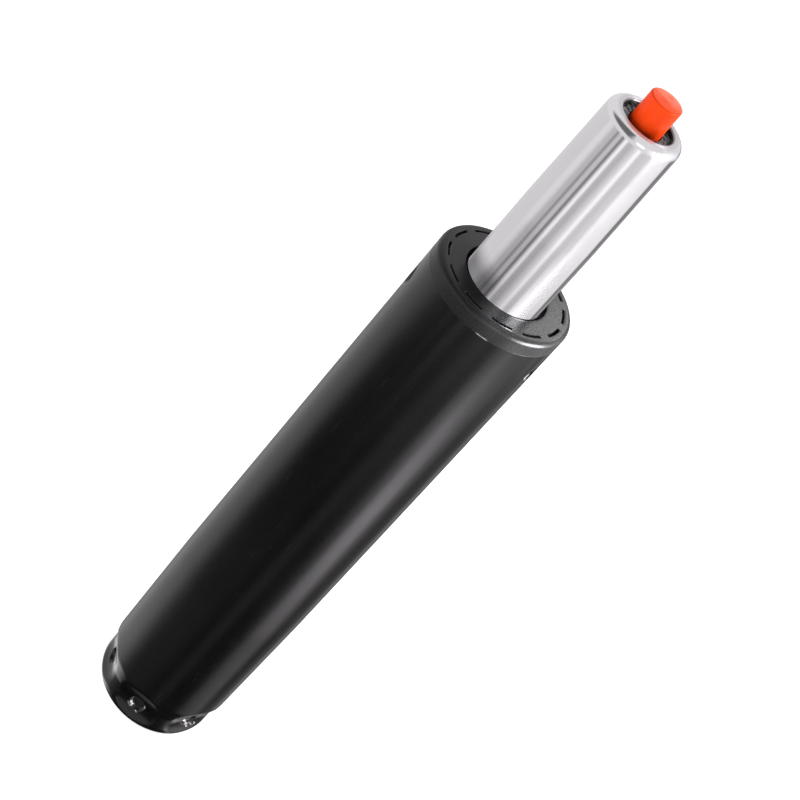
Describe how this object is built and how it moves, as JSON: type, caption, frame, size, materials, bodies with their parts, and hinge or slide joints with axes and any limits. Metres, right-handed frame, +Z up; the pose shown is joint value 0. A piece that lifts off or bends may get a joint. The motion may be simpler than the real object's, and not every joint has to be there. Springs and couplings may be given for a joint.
{
  "type": "gas lift cylinder",
  "caption": "Swivel chair gas lift: black tapered column with a plastic guide, a plated sliding pressure tube with an upper cone, and an orange release button.",
  "frame": {"origin": "centre of the lower rim, on the plane that the rim stands on", "axes": "+Z up the common axis of the column and the pressure tube, -Y towards the camera"},
  "size_m": [0.05, 0.05, 0.3173],
  "materials": {
    "black_paint": "satin black paint",
    "moulded_black": "moulded, fine texture",
    "zinc_plate": "zinc plated",
    "bearing_steel": "ground and hardened",
    "cage_plastic": "natural moulded",
    "ground_steel": "ground and plated",
    "spring_steel": "blackened spring steel",
    "black_rubber": "moulded rubber",
    "turned_alloy": "turned",
    "seal_rubber": "smooth rubber",
    "bright_plating": "bright plating, drawn along its length",
    "drawn_steel": "drawn",
    "guide_plastic": "filled plastic",
    "dark_steel": "oiled dark steel",
    "orange_plastic": "moulded, slightly glossy"
  },
  "bodies": {
    "column": {"column_tube": "black_paint", "guide_sleeve": "moulded_black", "base_plate": "zinc_plate", "lower_race": "bearing_steel"},
    "rod": {"piston_rod": "ground_steel", "piston": "turned_alloy", "piston_ring": "seal_rubber", "piston_washer": "zinc_plate", "upper_race": "bearing_steel", "rubber_bumper": "black_rubber", "rod_washer": "zinc_plate", "retaining_clip": "spring_steel"},
    "ball_cage": {"ball_cage": "cage_plastic", "bearing_balls": "bearing_steel"},
    "pressure_tube": {"pressure_tube": "bright_plating", "inner_tube": "drawn_steel", "lower_support_washer": "zinc_plate", "rod_guide": "guide_plastic", "rod_seal": "seal_rubber", "upper_support_washer": "zinc_plate", "valve_body": "turned_alloy", "head_o_ring": "seal_rubber", "spigot_o_ring": "seal_rubber", "pin_o_rings": "seal_rubber", "top_washer": "dark_steel"},
    "button": {"release_button": "orange_plastic", "valve_pin": "ground_steel"}
  },
  "joints": [
    {"name": "rod_swivel", "type": "hinge", "parent": "column", "child": "rod", "pos_m": [0, 0, 0.0204], "axis": [0, 0, 1], "continuous": true},
    {"name": "cage_swivel", "type": "hinge", "parent": "column", "child": "ball_cage", "pos_m": [0, 0, 0.0164], "axis": [0, 0, 1], "continuous": true},
    {"name": "height_slide", "type": "slide", "parent": "rod", "child": "pressure_tube", "axis": [0, 0, 1], "range_m": [0, 0.12]},
    {"name": "button_press", "type": "slide", "parent": "pressure_tube", "child": "button", "axis": [0, 0, -1], "range_m": [0, 0.0035], "stiffness_N_per_m": 6000, "springref_m": -0.002}
  ],
  "couplings": [
    {"joint": "cage_swivel", "follows": "rod_swivel", "ratio": 0.5}
  ]
}
